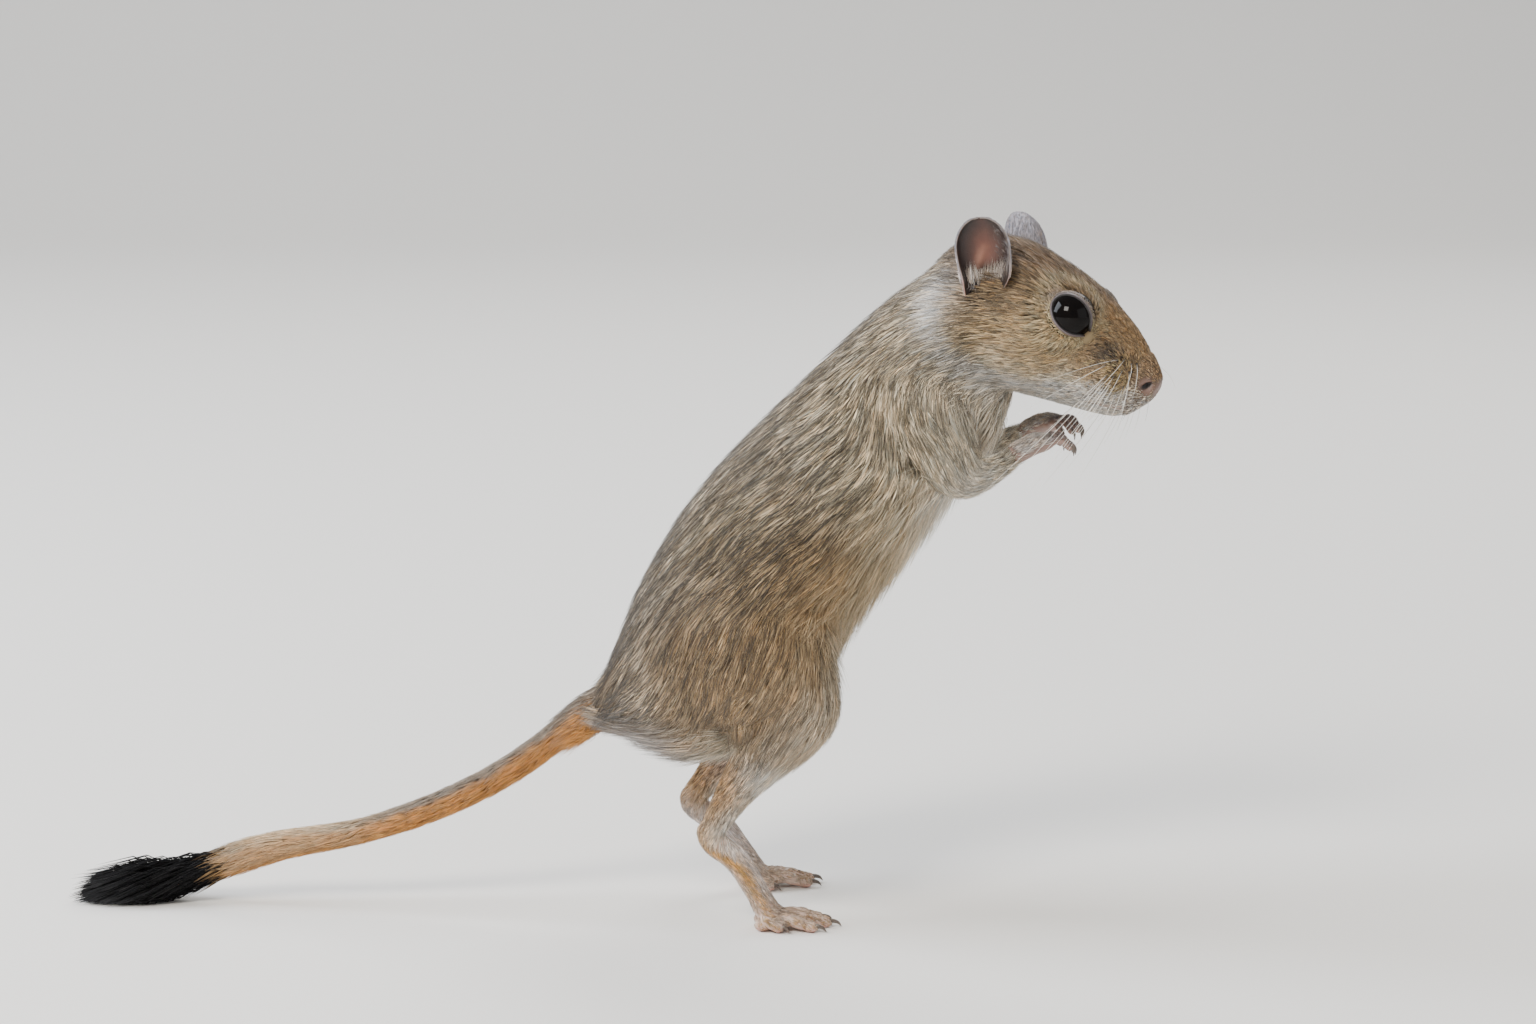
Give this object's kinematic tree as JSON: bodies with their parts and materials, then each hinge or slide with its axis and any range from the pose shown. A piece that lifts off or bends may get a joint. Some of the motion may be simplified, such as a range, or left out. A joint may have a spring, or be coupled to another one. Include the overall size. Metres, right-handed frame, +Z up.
{
  "type": "gerbil",
  "caption": "Life-size still model of a gerbil standing upright on its hind legs, head turned to one side, hands held up and tufted tail laid back on the floor.",
  "frame": {"origin": "centre of the bounding box in plan, at floor level", "axes": "+X the way the body faces, +Y the animal's left, +Z up"},
  "size_m": [0.2042, 0.0552, 0.1281],
  "materials": {
    "coat": "short dense agouti fur, cream below",
    "brush": "long coarse black hair",
    "eye": "wet, glossy black",
    "ear_skin": "thin skin with sparse fine hair",
    "paw_skin": "pale pink skin with short hair and dark claws"
  },
  "bodies": {
    "root": {"abdomen": "coat", "chest": "coat", "ear_left": "ear_skin", "ear_right": "ear_skin", "eye_left": "eye", "eye_right": "eye", "foot_left": "paw_skin", "foot_right": "paw_skin", "forearm_left": "coat", "forearm_right": "coat", "hand_left": "paw_skin", "hand_right": "paw_skin", "head": "coat", "neck": "coat", "rump": "coat", "shank_left": "coat", "shank_right": "coat", "tail_brush": "brush", "tail_end": "coat", "tail_middle": "coat", "tail_root": "coat", "thigh_left": "coat", "thigh_right": "coat", "upper_arm_left": "coat", "upper_arm_right": "coat"}
  },
  "joints": []
}
